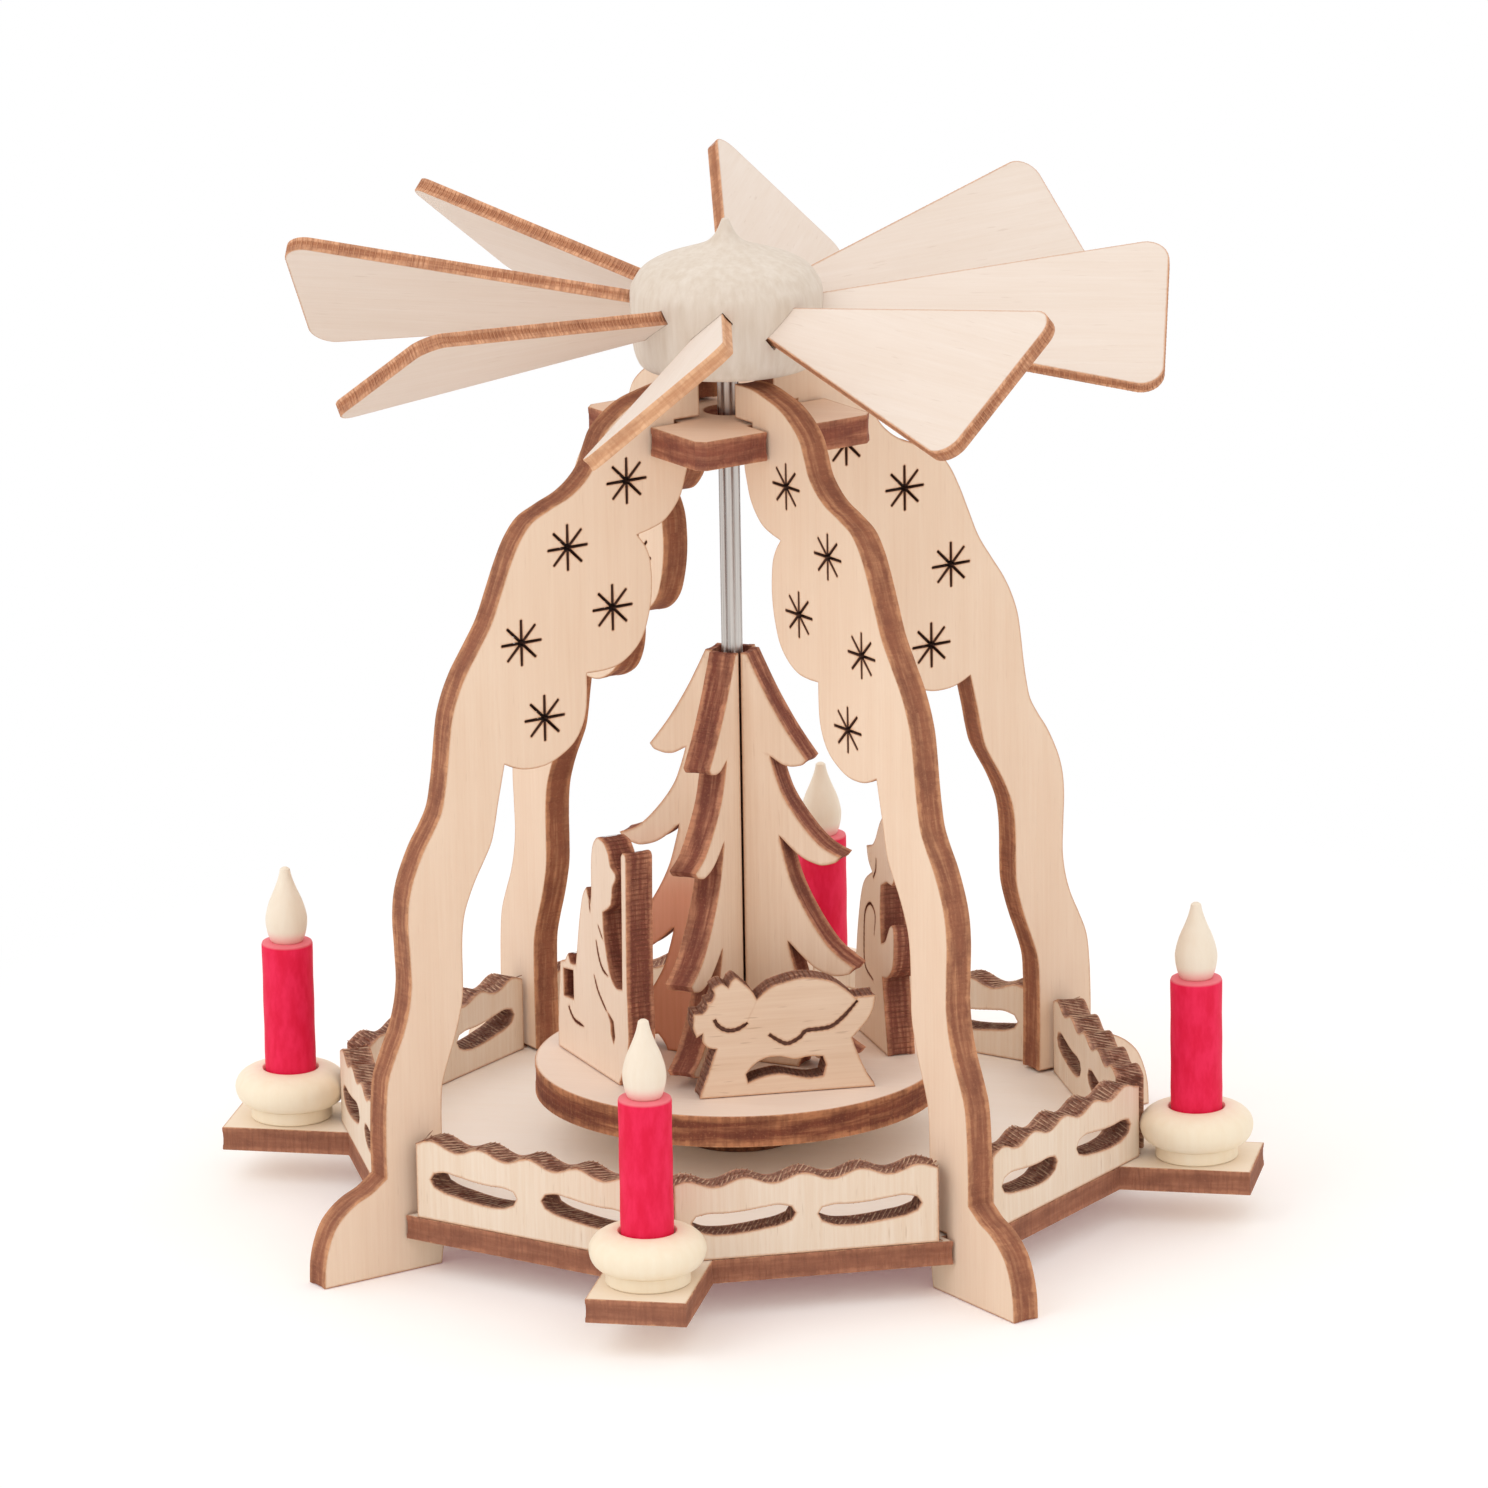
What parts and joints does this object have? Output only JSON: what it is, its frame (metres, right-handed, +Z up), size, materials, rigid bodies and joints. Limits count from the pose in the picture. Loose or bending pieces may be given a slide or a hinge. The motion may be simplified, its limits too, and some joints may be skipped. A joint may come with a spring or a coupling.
{
  "type": "christmas pyramid",
  "caption": "Table-top plywood Christmas pyramid: a bladed wind wheel turns a shaft and a turntable with a tree and nativity figures inside a four-legged frame with turned candles.",
  "frame": {"origin": "on the floor under the shaft, at the middle of the four feet", "axes": "+Z up along the shaft; -Y towards the front candle and +X towards the right candle; the legs stand on the diagonals"},
  "size_m": [0.1094, 0.1094, 0.1043],
  "materials": {
    "base_plywood": "matt birch plywood, burnt edges",
    "leg_plywood": "matt birch plywood, burnt edges",
    "top_plywood": "matt birch plywood, burnt edges",
    "fence_plywood": "matt birch plywood, burnt edges",
    "holder_wood": "smooth turned wood",
    "candle_red": "matt red paint on turned wood",
    "flame_wood": "smooth turned wood",
    "block_plywood": "matt plywood, burnt edge",
    "cup_brass": "bright",
    "shaft_steel": "bright drawn steel",
    "turntable_plywood": "matt birch plywood, burnt edge",
    "hub_wood": "raw turned wood",
    "blade_plywood": "matt thin plywood, burnt edges",
    "tree_plywood": "matt birch plywood, burnt edges",
    "figure_plywood": "matt birch plywood, burnt edges"
  },
  "bodies": {
    "frame": {"base_plate": "base_plywood", "leg_front_left": "leg_plywood", "leg_front_right": "leg_plywood", "leg_back_right": "leg_plywood", "leg_back_left": "leg_plywood", "top_plate": "top_plywood", "fence_front_left_a": "fence_plywood", "fence_front_left_b": "fence_plywood", "fence_front_right_a": "fence_plywood", "fence_front_right_b": "fence_plywood", "fence_back_right_a": "fence_plywood", "fence_back_right_b": "fence_plywood", "fence_back_left_a": "fence_plywood", "fence_back_left_b": "fence_plywood", "candle_holder_right": "holder_wood", "candle_holder_back": "holder_wood", "candle_holder_left": "holder_wood", "candle_holder_front": "holder_wood", "candle_right": "candle_red", "candle_back": "candle_red", "candle_left": "candle_red", "candle_front": "candle_red", "flame_right": "flame_wood", "flame_back": "flame_wood", "flame_left": "flame_wood", "flame_front": "flame_wood", "bearing_block": "block_plywood", "pivot_cup": "cup_brass"},
    "rotor": {"shaft": "shaft_steel", "turntable": "turntable_plywood", "hub": "hub_wood", "blade_1": "blade_plywood", "blade_2": "blade_plywood", "blade_3": "blade_plywood", "blade_4": "blade_plywood", "blade_5": "blade_plywood", "blade_6": "blade_plywood", "blade_7": "blade_plywood", "blade_8": "blade_plywood", "tree_right": "tree_plywood", "tree_front": "tree_plywood", "tree_left": "tree_plywood", "tree_back": "tree_plywood", "manger": "figure_plywood", "figure_with_staff": "figure_plywood", "kneeling_figure": "figure_plywood"}
  },
  "joints": [
    {"name": "rotor_spin", "type": "hinge", "parent": "frame", "child": "rotor", "pos_m": [0, 0, 0.0092], "axis": [0, 0, 1], "continuous": true}
  ]
}
